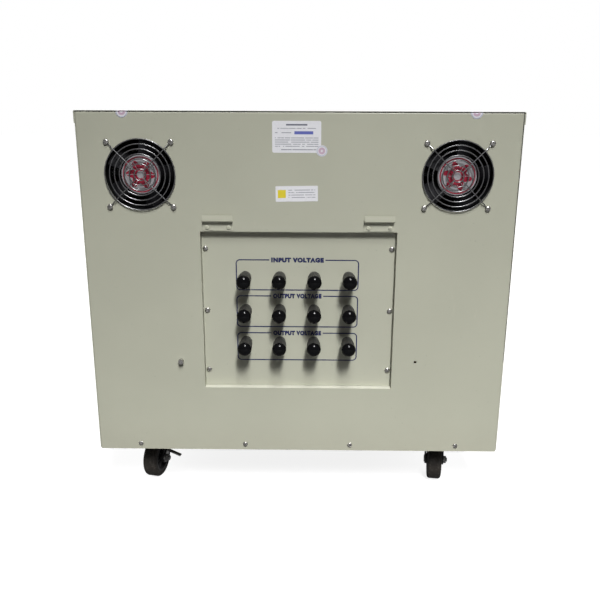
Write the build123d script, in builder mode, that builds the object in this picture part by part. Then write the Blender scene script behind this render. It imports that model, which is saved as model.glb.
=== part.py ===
from build123d import *
import os
from math import cos, radians, sin

os.makedirs("parts", exist_ok=True)

# Frame: X right, Y to the rear, Z up from the floor, all lengths in millimetres

# Cabinet
panel_width = 720.0
panel_height = 595.0
cabinet_depth = 480.0
sheet = 1.5
bend_radius = 2.5
return_depth = 22.0
panel_setback = 3.0
lid_skirt = 20.0
tray_sheet = 3.0
tray_rim = 32.0

# Terminal bay, places measured from the panel's bottom edge
bay_width = 330.0
bay_height = 280.0
bay_bottom = 121.5
bay_depth = 12.0
bay_lip = 16.0
plate_sheet = 2.0
plate_gap = 0.4

# Terminals
terminal_pitch_x = 59.1
terminal_pitch_z = 58.7
terminal_columns = 4
terminal_shift = -2.5
terminal_rise = 1.7
row_names = ("second_output", "first_output", "input")
collar_radius = 9.8
collar_height = 10.0
collar_top_share = 0.94
stud_radius = 4.0
stud_flange_radius = 8.6
stud_flange_height = 1.6
stud_nut_radius = 8.0
stud_nut_height = 6.0
stud_tail = 6.0
stud_gap = 0.1
cap_radius = 12.1
cap_foot_share = 0.93
cap_barrel = 28.0
cap_dome = 8.5
cap_neck_radius = 8.6
cap_neck_height = 2.5
cap_bore_depth = 18.0
flute_count = 14
flute_radius = 1.5
flute_sink_share = 0.6

# Cover hooks over the bay and the cover's fixing holes
hook_width = 50.0
hook_inset = 30.5
hook_rise = 2.0
hook_leaf = 16.7
hook_reach = 9.0
hook_lip = 9.3
hook_screw_spacing = 36.0
hook_screw_z = 5.5
hook_screw_radius = 1.7
cover_hole_margin = 40.5
cover_hole_rise = 50.5
cover_hole_radius = 2.5

# Fans
fan_inset = 100.5
fan_drop = 100.0
fan_size = 119.0
fan_depth = 38.0
fan_corner = 6.0
fan_flange = 4.5
fan_bore_radius = 57.5
fan_wall = 2.4
fan_hole_pitch = 105.0
fan_hole_radius = 2.2
motor_radius = 26.0
motor_depth = 9.0
strut_count = 4
strut_width = 6.0
strut_depth = 4.0
spindle_radius = 3.0
running_gap = 0.05
hub_radius = 33.0
hub_depth = 22.5
hub_setback = 1.5
hub_edge = 2.0
blade_count = 5
blade_tip_gap = 1.6
blade_thickness = 1.8
blade_root_chord = 30.0
blade_tip_chord = 42.0
blade_root_pitch = 42.0
blade_tip_pitch = 28.0
blade_camber_share = 0.1
blade_root_share = 0.72

# Fan guards
guard_wire = 1.9
guard_ring_count = 7
guard_inner_radius = 9.5
guard_ring_pitch = 8.0
guard_standoff = 4.0
guard_bend_radius = 60.0
guard_eye_radius = 4.6
guard_weld_share = 0.3

# Side air inlets
louvre_rows = 9
louvre_columns = 2
louvre_length = 130.0
louvre_height = 11.0
louvre_reach = 6.0
louvre_pitch = 26.0
louvre_column_pitch = 170.0
louvre_bottom = 95.0

# Casters
caster_height = 100.0
caster_inset_x = 88.0
caster_inset_y = 121.0
caster_trail = 34.0
caster_headings = {"front_left": -13.0, "front_right": -8.0, "rear_left": -21.0, "rear_right": -6.0}
braked_caster = "front_left"
mount_length = 92.0
mount_width = 66.0
mount_thickness = 3.0
mount_corner = 8.0
mount_hole_pitch_x = 70.0
mount_hole_pitch_y = 46.0
mount_hole_radius = 4.2
race_radius = 23.0
race_height = 6.0
race_gap = 0.4
swivel_radius = 20.0
swivel_height = 4.0
king_radius = 5.0
king_head_radius = 8.0
king_head_height = 3.0
fork_sheet = 2.5
fork_length = 46.0
fork_gap = 2.5
fork_bend_share = 0.8
boss_radius = 10.0
wheel_radius = 37.5
tyre_width = 26.0
tyre_shoulder = 5.0
core_radius = 27.0
core_rim = 4.0
core_hub_radius = 10.0
core_web = 7.0
core_rib_count = 6
core_rib = 3.0
core_rib_setback = 2.0
axle_radius = 4.0
axle_head_radius = 7.0
axle_head_height = 1.6
axle_nut_radius = 7.0
axle_nut_height = 5.0
axle_tail = 2.0
lever_sheet = 2.0
lever_ring = 8.5
lever_arm_y = 10.0
lever_arm_z = 12.0
lever_pedal = 28.0
lever_pedal_width = 8.0
lever_pedal_drop = 9.0

# Core and windings inside the cabinet
core_width = 460.0
core_height = 400.0
core_stack = 105.0
limb_width = 88.0
yoke_height = 88.0
coil_wall = 33.0
coil_gap = 3.0
coil_corner = 14.0
coil_clearance = 14.0
clamp_height = 56.0
clamp_sheet = 6.0
clamp_foot = 40.0
core_lift = 24.0

# Places that follow from the sizes
panel_bottom = caster_height
panel_top = panel_bottom + panel_height
panel_mid = (panel_bottom + panel_top) / 2
half_panel = panel_width / 2
bay_foot = panel_bottom + bay_bottom
bay_mid = bay_foot + bay_height / 2
terminal_mid = bay_mid + terminal_rise
hook_foot = bay_foot + bay_height + hook_rise
hook_spacing = bay_width - 2 * hook_inset
cover_hole_z = bay_foot + cover_hole_rise
cover_hole_spacing = bay_width + 2 * cover_hole_margin
terminal_length = collar_height + stud_flange_height + cap_neck_height + cap_barrel + cap_dome
terminal_reach = terminal_length - bay_depth
front_y = (terminal_reach - cabinet_depth) / 2
rear_y = front_y + cabinet_depth
plate_y = front_y + bay_depth
fan_y = front_y + sheet
fan_z = panel_top - fan_drop
fan_places = {"left": fan_inset - half_panel, "right": half_panel - fan_inset}
row_span = (len(row_names) - 1) * terminal_pitch_z
row_heights = {name: terminal_mid - row_span / 2 + i * terminal_pitch_z for i, name in enumerate(row_names)}
column_span = (terminal_columns - 1) * terminal_pitch_x
column_first = terminal_shift - column_span / 2
column_places = [column_first + i * terminal_pitch_x for i in range(terminal_columns)]
tray_width = panel_width - 2 * sheet
tray_depth = cabinet_depth - 2 * sheet


def facing_front(y, x=0.0, z=0.0):
    """Upright plane at depth y that looks to the front, its axes X and Z."""
    return Plane((x, y, z), x_dir=(1, 0, 0), z_dir=(0, -1, 0))


def placed(frame, origin):
    """Upright plane across a caster: its axes run along the wheel and up."""
    return Plane(frame.location * Plane(origin, x_dir=(0, 1, 0), z_dir=(1, 0, 0)).location)


def save(builder, name):
    """Label a finished piece and write it as its own file."""
    builder.part.label = name
    export_step(builder.part, f"parts/{name}.step")


def panel_pan(face_y, inward):
    """Folded front or rear panel: a face with returns at both sides and the top."""
    with BuildPart() as pan:
        with BuildSketch(facing_front(face_y)):
            with Locations((0, panel_mid)):
                Rectangle(panel_width, panel_height)
        extrude(amount=-inward * return_depth)
        face_edges = pan.faces().sort_by(Axis.Y)[0 if inward > 0 else -1].edges()
        upright = face_edges.filter_by(Axis.Z)
        top_edge = face_edges.filter_by(Axis.X).sort_by(Axis.Z)[-1]
        fillet([*upright, top_edge], radius=bend_radius)
        open_side = pan.faces().sort_by(Axis.Y)[-1 if inward > 0 else 0]
        open_foot = pan.faces().sort_by(Axis.Z)[0]
        offset(amount=-sheet, openings=[open_side, open_foot])
    return pan


# Base tray
with BuildPart() as base_tray:
    with BuildSketch(Plane.XY.offset(panel_bottom)):
        with Locations((0, front_y + cabinet_depth / 2)):
            RectangleRounded(tray_width, tray_depth, bend_radius)
    extrude(amount=tray_rim)
    offset(amount=-tray_sheet, openings=base_tray.faces().sort_by(Axis.Z)[-1])
save(base_tray, "base_tray")

# Front panel with the bay's folded walls and lips
front_blank = panel_pan(front_y, 1)
wall_depth = bay_depth + plate_sheet
with BuildPart() as front_panel:
    add(front_blank.part)
    with BuildSketch(facing_front(front_y)):
        with Locations((0, bay_mid)):
            Rectangle(bay_width + 2 * sheet, bay_height + 2 * sheet)
    extrude(amount=-(wall_depth + sheet))
    with BuildSketch(facing_front(front_y)):
        with Locations((0, bay_mid)):
            Rectangle(bay_width, bay_height)
    extrude(amount=-wall_depth, mode=Mode.SUBTRACT)
    with BuildSketch(facing_front(front_y)):
        with Locations((0, bay_mid)):
            Rectangle(bay_width - 2 * bay_lip, bay_height)
    extrude(amount=-2 * wall_depth, mode=Mode.SUBTRACT)
    with BuildSketch(facing_front(front_y)):
        for fan_x in fan_places.values():
            with Locations((fan_x, fan_z)):
                Circle(fan_bore_radius)
                with GridLocations(fan_hole_pitch, fan_hole_pitch, 2, 2):
                    Circle(fan_hole_radius)
        with Locations((0, cover_hole_z)):
            with GridLocations(cover_hole_spacing, 0, 2, 1):
                Circle(cover_hole_radius)
    extrude(amount=-return_depth, mode=Mode.SUBTRACT)
save(front_panel, "front_panel")

# Rear panel
rear_panel = panel_pan(rear_y, -1)
save(rear_panel, "rear_panel")

# Lid over the side panels
lid_width = panel_width + 4 * sheet
lid_depth = cabinet_depth - 2 * panel_setback
with BuildPart() as top_cover:
    with BuildSketch(Plane.XY.offset(panel_top + sheet)):
        with Locations((0, front_y + cabinet_depth / 2)):
            Rectangle(lid_width, lid_depth)
    extrude(amount=-lid_skirt)
    lid_edges = top_cover.faces().sort_by(Axis.Z)[-1].edges().filter_by(Axis.Y)
    fillet(lid_edges, radius=bend_radius)
    lid_faces = top_cover.faces().sort_by(Axis.Y)
    lid_under = top_cover.faces().sort_by(Axis.Z)[0]
    offset(amount=-sheet, openings=[lid_faces[0], lid_faces[-1], lid_under])
save(top_cover, "top_cover")

# Side panels with pressed air louvres
louvre_first = panel_bottom + louvre_bottom
for side, name in ((-1, "left_side_panel"), (1, "right_side_panel")):
    inner_x = side * half_panel
    outer_x = side * (half_panel + sheet)
    mid_y = front_y + cabinet_depth / 2
    with BuildPart() as side_panel:
        with BuildSketch(Plane.YZ.offset(inner_x)):
            with Locations((mid_y, panel_mid)):
                Rectangle(cabinet_depth - 2 * panel_setback, panel_height - bend_radius)
        extrude(amount=side * sheet)
        for row in range(louvre_rows):
            foot = louvre_first + row * louvre_pitch
            for column in range(louvre_columns):
                shift = column - (louvre_columns - 1) / 2
                centre = mid_y + shift * louvre_column_pitch
                hood_start = centre - louvre_length / 2
                section = Plane((0, hood_start, 0), x_dir=(1, 0, 0), z_dir=(0, -1, 0))
                hood_x = outer_x + side * louvre_reach
                with BuildSketch(section):
                    with BuildLine():
                        Line((outer_x, foot), (hood_x, foot))
                        RadiusArc((hood_x, foot), (outer_x, foot + louvre_height), side * louvre_height * 2)
                        Line((outer_x, foot + louvre_height), (outer_x, foot))
                    make_face()
                extrude(amount=-louvre_length)
                throat_top = foot + louvre_height - 2 * sheet
                throat_x = hood_x - side * sheet
                throat = section.offset(-sheet)
                with BuildSketch(throat):
                    with BuildLine():
                        Polyline((inner_x, foot), (throat_x, foot), (outer_x, throat_top),
                                 (inner_x, throat_top), (inner_x, foot))
                    make_face()
                extrude(amount=-(louvre_length - 2 * sheet), mode=Mode.SUBTRACT)
    save(side_panel, name)

# Terminal plate
with BuildPart() as terminal_plate:
    with BuildSketch(facing_front(plate_y)):
        with Locations((0, bay_mid)):
            Rectangle(bay_width - 2 * plate_gap, bay_height - 2 * plate_gap)
        with Locations((terminal_shift, terminal_mid)):
            with GridLocations(terminal_pitch_x, terminal_pitch_z, terminal_columns, len(row_names)):
                Circle(stud_radius + stud_gap, mode=Mode.SUBTRACT)
    extrude(amount=-plate_sheet)
save(terminal_plate, "terminal_plate")

# Terminal posts, row by row
flange_y = plate_y - collar_height
cap_y = flange_y - stud_flange_height
for row_name, row_z in row_heights.items():
    with BuildPart() as collars:
        for x in column_places:
            with BuildSketch(facing_front(plate_y)):
                with Locations((x, row_z)):
                    Circle(collar_radius)
            with BuildSketch(facing_front(flange_y)):
                with Locations((x, row_z)):
                    Circle(collar_radius * collar_top_share)
            loft()
        with BuildSketch(facing_front(plate_y)):
            with Locations(*[(x, row_z) for x in column_places]):
                Circle(stud_radius + stud_gap)
        extrude(amount=collar_height, mode=Mode.SUBTRACT)
    save(collars, f"{row_name}_collars")

    with BuildPart() as studs:
        for x in column_places:
            with BuildSketch(facing_front(plate_y + plate_sheet + stud_nut_height + stud_tail)):
                with Locations((x, row_z)):
                    Circle(stud_radius)
            stud_length = stud_tail + stud_nut_height + plate_sheet + collar_height
            extrude(amount=stud_length + stud_flange_height + cap_bore_depth - stud_radius)
            with BuildSketch(facing_front(flange_y)):
                with Locations((x, row_z)):
                    Circle(stud_flange_radius)
            extrude(amount=stud_flange_height)
            with BuildSketch(facing_front(plate_y + plate_sheet)):
                with Locations((x, row_z)):
                    RegularPolygon(stud_nut_radius, 6)
            extrude(amount=-stud_nut_height)
    save(studs, f"{row_name}_studs")

    with BuildPart() as caps:
        for x in column_places:
            turned = Plane((x, cap_y, row_z), x_dir=(1, 0, 0), z_dir=(0, 0, -1))
            shoulder = cap_neck_height + cap_barrel
            with BuildSketch(turned):
                with BuildLine():
                    Polyline((0, 0), (cap_neck_radius, 0), (cap_neck_radius, cap_neck_height),
                             (cap_radius * cap_foot_share, cap_neck_height), (cap_radius, shoulder))
                    EllipticalCenterArc((0, shoulder), cap_radius, cap_dome, arc_size=90)
                    Line((0, shoulder + cap_dome), (0, 0))
                make_face()
            revolve(axis=Axis((x, cap_y, row_z), (0, -1, 0)))
        flute_circle = cap_radius + flute_radius * (1 - flute_sink_share)
        with BuildSketch(facing_front(cap_y)):
            with Locations(*[(x, row_z) for x in column_places]):
                with PolarLocations(flute_circle, flute_count):
                    Circle(flute_radius)
        extrude(amount=shoulder, mode=Mode.SUBTRACT)
        with BuildSketch(facing_front(cap_y)):
            with Locations(*[(x, row_z) for x in column_places]):
                Circle(stud_radius + stud_gap)
        extrude(amount=cap_bore_depth, mode=Mode.SUBTRACT)
    save(caps, f"{row_name}_caps")

# Cover hooks: a leaf on the panel, a shelf and an upturned lip, bent from one strip
shelf_top = hook_foot + hook_leaf
lip_y = front_y - hook_reach
inner_bend = bend_radius - sheet
for name, hook_x in (("left_cover_hook", -hook_spacing / 2), ("right_cover_hook", hook_spacing / 2)):
    strip_plane = Plane.YZ.offset(hook_x - hook_width / 2)
    with BuildPart() as hook:
        with BuildSketch(strip_plane) as strip:
            with BuildLine():
                Polyline((front_y, hook_foot), (front_y, shelf_top), (lip_y + sheet, shelf_top),
                         (lip_y + sheet, shelf_top + hook_lip), (lip_y, shelf_top + hook_lip),
                         (lip_y, shelf_top - sheet), (front_y - sheet, shelf_top - sheet),
                         (front_y - sheet, hook_foot), (front_y, hook_foot))
            make_face()
            for spot in ((front_y, shelf_top), (lip_y, shelf_top - sheet)):
                fillet(strip.vertices().sort_by_distance((*spot, 0))[0], radius=bend_radius)
            for spot in ((lip_y + sheet, shelf_top), (front_y - sheet, shelf_top - sheet)):
                fillet(strip.vertices().sort_by_distance((*spot, 0))[0], radius=inner_bend)
        extrude(amount=hook_width)
        with BuildSketch(facing_front(front_y, hook_x, hook_foot + hook_screw_z)):
            with GridLocations(hook_screw_spacing, 0, 2, 1):
                Circle(hook_screw_radius)
        extrude(amount=sheet, mode=Mode.SUBTRACT)
    save(hook, name)

# Fans
for side, fan_x in fan_places.items():
    back_y = fan_y + fan_depth
    with BuildPart() as fan_frame:
        with BuildSketch(facing_front(fan_y, fan_x, fan_z)):
            RectangleRounded(fan_size, fan_size, fan_corner)
        extrude(amount=-fan_depth)
        corner_inset = fan_bore_radius + fan_wall
        with BuildSketch(facing_front(fan_y + fan_flange, fan_x, fan_z)):
            Rectangle(2 * fan_size, 2 * fan_size)
            Circle(corner_inset, mode=Mode.SUBTRACT)
        extrude(amount=-(fan_depth - 2 * fan_flange), mode=Mode.SUBTRACT)
        with BuildSketch(facing_front(fan_y, fan_x, fan_z)):
            Circle(fan_bore_radius)
            with GridLocations(fan_hole_pitch, fan_hole_pitch, 2, 2):
                Circle(fan_hole_radius)
        extrude(amount=-fan_depth, mode=Mode.SUBTRACT)
        with BuildSketch(facing_front(back_y, fan_x, fan_z)):
            Circle(motor_radius)
        extrude(amount=motor_depth)
        with BuildSketch(facing_front(back_y, fan_x, fan_z)):
            with PolarLocations(0, strut_count):
                with Locations((corner_inset / 2, 0)):
                    Rectangle(corner_inset, strut_width)
            Circle(fan_bore_radius + fan_wall / 2, mode=Mode.INTERSECT)
        extrude(amount=strut_depth)
        with BuildSketch(facing_front(back_y, fan_x, fan_z)):
            Circle(spindle_radius)
        extrude(amount=fan_depth - hub_setback - hub_edge)
    save(fan_frame, f"{side}_fan_frame")

    hub_front = fan_y + hub_setback
    axis = Plane((fan_x, hub_front + hub_depth / 2, fan_z), x_dir=(1, 0, 0), z_dir=(0, -1, 0))
    tip_radius = fan_bore_radius - blade_tip_gap
    with BuildPart() as blade:
        sections = []
        stations = ((hub_radius * blade_root_share, blade_root_chord, blade_root_pitch),
                    (fan_bore_radius, blade_tip_chord, blade_tip_pitch))
        for radius, chord, pitch in stations:
            with BuildSketch(Plane((radius, 0, 0), x_dir=(0, 1, 0), z_dir=(1, 0, 0))) as section:
                half = chord / 2
                rise = chord * blade_camber_share
                with BuildLine(Location((0, 0, 0), (0, 0, pitch))):
                    ThreePointArc((-half, 0), (0, rise), (half, 0))
                    Line((half, 0), (half, -blade_thickness))
                    ThreePointArc((half, -blade_thickness), (0, rise - blade_thickness),
                                  (-half, -blade_thickness))
                    Line((-half, -blade_thickness), (-half, 0))
                make_face()
            sections.append(section.sketch)
        loft(sections)
        with BuildSketch(Plane.XY.offset(-hub_depth / 2)):
            Circle(tip_radius)
        extrude(amount=hub_depth, mode=Mode.INTERSECT)
    with BuildPart(axis) as fan_rotor:
        with BuildSketch(axis.offset(-hub_depth / 2)):
            Circle(hub_radius)
        extrude(amount=hub_depth)
        fillet(fan_rotor.edges().group_by(Axis.Y)[0], radius=hub_edge)
        with PolarLocations(0, blade_count):
            add(blade.part)
        with BuildSketch(axis.offset(-hub_depth / 2)):
            Circle(spindle_radius + running_gap)
        extrude(amount=hub_depth - hub_edge, mode=Mode.SUBTRACT)
    save(fan_rotor, f"{side}_fan_rotor")

# Wire guards: rings carried on bent diagonal legs that end in eyes
guard_y = front_y - guard_standoff
leg_foot = guard_standoff - guard_wire * guard_weld_share
leg_top = leg_foot + guard_wire
eye_reach = fan_hole_pitch / 2 ** 0.5
leg_end = eye_reach - guard_eye_radius + guard_wire / 2
for side, fan_x in fan_places.items():
    with BuildPart() as fan_guard:
        with BuildSketch(facing_front(guard_y, fan_x, fan_z)):
            for ring in range(guard_ring_count):
                ring_radius = guard_inner_radius + ring * guard_ring_pitch
                with BuildSketch(mode=Mode.PRIVATE) as hoop:
                    Circle(ring_radius + guard_wire / 2)
                    Circle(ring_radius - guard_wire / 2, mode=Mode.SUBTRACT)
                add(hoop.sketch)
        extrude(amount=-guard_wire)
        for turn in range(4):
            angle = radians(45 + 90 * turn)
            along = (cos(angle), 0, sin(angle))
            across = (-sin(angle), 0, cos(angle))
            leg_plane = Plane((fan_x, front_y, fan_z), x_dir=along, z_dir=across)
            out = 1 if leg_plane.y_dir.Y < 0 else -1
            with BuildSketch(leg_plane):
                with BuildLine():
                    Polyline((guard_inner_radius, out * leg_foot), (guard_inner_radius, out * leg_top),
                             (guard_bend_radius, out * leg_top), (leg_end, out * guard_wire), (leg_end, 0),
                             (leg_end - guard_wire, 0), (guard_bend_radius - guard_wire, out * leg_foot),
                             (guard_inner_radius, out * leg_foot))
                make_face()
            extrude(amount=guard_wire / 2, both=True)
        with BuildSketch(facing_front(front_y, fan_x, fan_z)):
            with GridLocations(fan_hole_pitch, fan_hole_pitch, 2, 2):
                Circle(guard_eye_radius)
                Circle(guard_eye_radius - guard_wire, mode=Mode.SUBTRACT)
        extrude(amount=guard_wire)
    save(fan_guard, f"{side}_fan_guard")

# Casters
swivel_x = half_panel - caster_inset_x
corner_places = {
    "front_left": (-swivel_x, front_y + caster_inset_y),
    "front_right": (swivel_x, front_y + caster_inset_y),
    "rear_left": (-swivel_x, rear_y - caster_inset_y),
    "rear_right": (swivel_x, rear_y - caster_inset_y),
}
race_foot = caster_height - mount_thickness - race_height
crown_top = race_foot - race_gap - swivel_height
crown_foot = crown_top - fork_sheet
leg_inner = tyre_width / 2 + fork_gap
leg_outer = leg_inner + fork_sheet
for corner, (x, y) in corner_places.items():
    turn = radians(caster_headings[corner])
    braked = corner == braked_caster
    with BuildPart() as caster_mount:
        with BuildSketch(Plane((x, y, caster_height))):
            RectangleRounded(mount_length, mount_width, mount_corner)
            with GridLocations(mount_hole_pitch_x, mount_hole_pitch_y, 2, 2):
                Circle(mount_hole_radius, mode=Mode.SUBTRACT)
        extrude(amount=-mount_thickness)
        with BuildSketch(Plane((x, y, race_foot))):
            Circle(race_radius)
        extrude(amount=race_height)
        king_foot = crown_foot - race_gap - king_head_height
        with BuildSketch(Plane((x, y, king_foot))):
            Circle(king_radius)
        extrude(amount=race_foot - king_foot)
        with BuildSketch(Plane((x, y, king_foot))):
            Circle(king_head_radius)
        extrude(amount=king_head_height)
    save(caster_mount, f"{corner}_caster_mount")

    swivel = Plane((x, y, 0), x_dir=(cos(turn), sin(turn), 0), z_dir=(0, 0, 1))
    wheel_plane = placed(swivel, (0, -caster_trail, wheel_radius))
    with BuildPart() as fork:
        with BuildSketch(swivel.offset(crown_foot)):
            Rectangle(2 * leg_outer, fork_length)
        extrude(amount=fork_sheet)
        for flank in (-1, 1):
            with BuildSketch(placed(swivel, (flank * leg_inner, 0, 0))):
                with Locations((0, crown_foot + fork_sheet / 2)):
                    Rectangle(fork_length, fork_sheet)
                with Locations((-caster_trail, wheel_radius)):
                    Circle(boss_radius)
                make_hull()
            extrude(amount=flank * fork_sheet)
        crown_edges = fork.faces().sort_by(Axis.Z)[-1].edges().sort_by(SortBy.LENGTH)
        fillet(crown_edges[-2:], radius=fork_sheet * fork_bend_share)
        with BuildSketch(swivel.offset(crown_top)):
            Circle(swivel_radius)
        extrude(amount=swivel_height)
        with BuildSketch(wheel_plane.offset(-2 * leg_outer)):
            Circle(axle_radius + running_gap)
        extrude(amount=4 * leg_outer, mode=Mode.SUBTRACT)
        with BuildSketch(swivel.offset(crown_foot)):
            Circle(king_radius + running_gap)
        extrude(amount=fork_sheet + swivel_height, mode=Mode.SUBTRACT)
    save(fork, f"{corner}_fork")

    with BuildPart() as tyre:
        with BuildSketch(wheel_plane):
            Circle(wheel_radius)
            Circle(core_radius, mode=Mode.SUBTRACT)
        extrude(amount=tyre_width / 2, both=True)
        shoulders = tyre.edges().filter_by(GeomType.CIRCLE).group_by(SortBy.RADIUS)[-1]
        fillet(shoulders, radius=tyre_shoulder)
    save(tyre, f"{corner}_tyre")

    with BuildPart() as wheel_core:
        with BuildSketch(wheel_plane):
            Circle(core_radius)
        extrude(amount=tyre_width / 2, both=True)
        for flank in (-1, 1):
            with BuildSketch(wheel_plane.offset(flank * core_web / 2)):
                Circle(core_radius - core_rim)
                Circle(core_hub_radius, mode=Mode.SUBTRACT)
            extrude(amount=flank * tyre_width, mode=Mode.SUBTRACT)
        with BuildSketch(wheel_plane):
            with PolarLocations(core_radius / 2, core_rib_count):
                Rectangle(core_radius - core_rim / 2, core_rib)
        extrude(amount=tyre_width / 2 - core_rib_setback, both=True)
        with BuildSketch(wheel_plane):
            Circle(core_hub_radius)
        extrude(amount=leg_inner - race_gap, both=True)
        with BuildSketch(wheel_plane):
            Circle(axle_radius + running_gap)
        extrude(amount=leg_outer, both=True, mode=Mode.SUBTRACT)
    save(wheel_core, f"{corner}_wheel")

    nut_start = leg_outer + (lever_sheet + 2 * race_gap if braked else 0)
    with BuildPart() as axle:
        with BuildSketch(wheel_plane.offset(-leg_outer)):
            Circle(axle_radius)
        extrude(amount=leg_outer + nut_start + axle_nut_height + axle_tail)
        with BuildSketch(wheel_plane.offset(-leg_outer)):
            Circle(axle_head_radius)
        extrude(amount=-axle_head_height)
        with BuildSketch(wheel_plane.offset(nut_start)):
            RegularPolygon(axle_nut_radius, 6)
        extrude(amount=axle_nut_height)
    save(axle, f"{corner}_axle")

    if braked:
        lever_plane = wheel_plane.offset(leg_outer + race_gap)
        with BuildPart() as lever:
            with BuildSketch(lever_plane):
                Circle(lever_ring)
                with Locations((lever_arm_y, lever_arm_z)):
                    Circle(lever_pedal_width / 2)
                make_hull()
                Circle(axle_radius + running_gap, mode=Mode.SUBTRACT)
            extrude(amount=lever_sheet)
            pedal_side = lever_arm_y - lever_pedal_width / 2
            pedal_start = lever_plane.from_local_coords((pedal_side, lever_arm_z, 0))
            half_sheet = lever_sheet / 2
            with BuildSketch(Plane(pedal_start, x_dir=lever_plane.z_dir, z_dir=lever_plane.x_dir)):
                with BuildLine():
                    Polyline((0, -half_sheet), (lever_pedal, lever_pedal_drop - half_sheet),
                             (lever_pedal, lever_pedal_drop + half_sheet), (0, half_sheet), (0, -half_sheet))
                make_face()
            extrude(amount=lever_pedal_width)
        save(lever, f"{corner}_brake_lever")

# Core, windings and clamps on the tray
core_foot = panel_bottom + tray_sheet + core_lift
core_mid = core_foot + core_height / 2
window_height = core_height - 2 * yoke_height
window_width = (core_width - 3 * limb_width) / 2
limb_pitch = limb_width + window_width
with BuildPart() as core:
    with BuildSketch(facing_front(core_stack / 2)):
        with Locations((0, core_mid)):
            Rectangle(core_width, core_height)
            with GridLocations(limb_pitch, 0, 2, 1):
                Rectangle(window_width, window_height, mode=Mode.SUBTRACT)
    extrude(amount=core_stack)
save(core, "core")

with BuildPart() as windings:
    with BuildSketch(Plane.XY.offset(core_foot + yoke_height)):
        with GridLocations(limb_pitch, 0, 3, 1):
            RectangleRounded(limb_width + 2 * coil_wall, core_stack + 2 * coil_wall, coil_corner)
            Rectangle(limb_width + 2 * coil_gap, core_stack + 2 * coil_gap, mode=Mode.SUBTRACT)
    extrude(amount=window_height - coil_clearance)
save(windings, "windings")

with BuildPart() as clamps:
    for face in (-1, 1):
        clamp_y = face * core_stack / 2
        with BuildSketch(Plane.YZ.offset(-core_width / 2)):
            with BuildLine():
                foot = panel_bottom + tray_sheet
                Polyline((clamp_y, foot), (clamp_y, foot + clamp_height),
                         (clamp_y + face * clamp_sheet, foot + clamp_height),
                         (clamp_y + face * clamp_sheet, foot + clamp_sheet),
                         (clamp_y + face * clamp_foot, foot + clamp_sheet),
                         (clamp_y + face * clamp_foot, foot), (clamp_y, foot))
            make_face()
        extrude(amount=core_width)
save(clamps, "core_clamps")
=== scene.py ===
from math import atan2, cos, pi, radians, sin

import bmesh
import bpy
from mathutils import Matrix, Vector


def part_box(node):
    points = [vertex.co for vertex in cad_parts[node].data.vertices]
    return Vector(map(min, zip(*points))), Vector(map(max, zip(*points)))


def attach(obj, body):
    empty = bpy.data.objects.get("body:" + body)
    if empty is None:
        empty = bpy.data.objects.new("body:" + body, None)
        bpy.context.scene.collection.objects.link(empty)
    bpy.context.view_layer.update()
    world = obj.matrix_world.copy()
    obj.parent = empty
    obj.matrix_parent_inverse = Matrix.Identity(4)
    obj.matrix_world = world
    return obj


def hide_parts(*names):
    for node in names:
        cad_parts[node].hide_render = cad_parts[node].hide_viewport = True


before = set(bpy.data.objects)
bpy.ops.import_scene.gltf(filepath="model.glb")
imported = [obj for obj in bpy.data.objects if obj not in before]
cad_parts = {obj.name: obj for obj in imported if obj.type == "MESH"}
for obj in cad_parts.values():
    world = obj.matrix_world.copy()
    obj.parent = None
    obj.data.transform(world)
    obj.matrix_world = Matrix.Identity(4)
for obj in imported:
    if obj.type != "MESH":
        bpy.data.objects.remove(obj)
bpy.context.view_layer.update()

# Millimetres of the real object in the scene's metres
MM = 0.001

# Places of the cabinet, read from its parts in model.glb
panel_low, panel_high = (Vector(corner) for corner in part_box("front_panel"))
rear_high = Vector(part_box("rear_panel")[1])
plate_low, plate_high = (Vector(corner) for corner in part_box("terminal_plate"))
lid_low, lid_high = (Vector(corner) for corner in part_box("top_cover"))
side_low, side_high = (Vector(corner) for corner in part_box("right_side_panel"))
FRONT = panel_low.y
REAR = rear_high.y
FOOT = panel_low.z
PLATE = plate_low.y
PLATE_MID_X = (plate_low.x + plate_high.x) / 2
PLATE_MID_Z = (plate_low.z + plate_high.z) / 2
SIDES = ("left", "right")

# Directions as the camera sees them
ORIGIN = Vector((0, 0, 0))
RIGHT = Vector((1, 0, 0))
UP = Vector((0, 0, 1))
OUT = Vector((0, -1, 0))

# Camera: where it stood, in millimetres from the panel's face and bottom edge, and how it was held
CAMERA_X = 14.2
CAMERA_AWAY = 1125.1
CAMERA_UP = 593.5
CAMERA_PITCH = radians(15.38)
CAMERA_YAW = radians(-0.573)
CAMERA_ROLL = radians(-0.237)

# Camera: lens and sensor in millimetres, and how far it sees in metres
CAMERA_LENS = 40.8
CAMERA_SENSOR = 36.0
CAMERA_SIGHT = 100.0

# Colours of paint, print and paper, linear, and how much paler hooks and rivets are made, which is painted
# light
KHAKI = (0.405, 0.408, 0.328)
KHAKI_PLATE = (0.415, 0.418, 0.338)
# Painted light: the hooks are made paler than the panel, as though lit brighter
HOOK_PAINTED_LIGHT_SHARE = 1.14
# Painted highlight: the khaki rivets are made paler still, as though lit on their domes
RIVET_HIGHLIGHT_SHARE = 1.3
NAVY = (0.008, 0.012, 0.07)
PAPER = (0.71, 0.71, 0.74)
FOIL = (0.42, 0.41, 0.43)
RED = (0.26, 0.010, 0.030)
YELLOW = (0.66, 0.54, 0.03)
GREY_INK = (0.13, 0.14, 0.18)
BLUE_INK = (0.10, 0.12, 0.40)
OUTER_RING_INK = (0.25, 0.28, 0.45)
INNER_RING_INK = (0.42, 0.22, 0.34)

# Colours of dust and wear, linear
# Pale dust and painted top light, laid on the upward faces of the paint
PALE_DUST_AND_TOP_LIGHT = (0.78, 0.77, 0.70)
FLOOR_DIRT = (0.30, 0.27, 0.21)
GREY_DUST = (0.20, 0.19, 0.17)
CAP_DUST = (0.13, 0.125, 0.11)
RUBBED_STEEL = (0.11, 0.108, 0.10)

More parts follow.
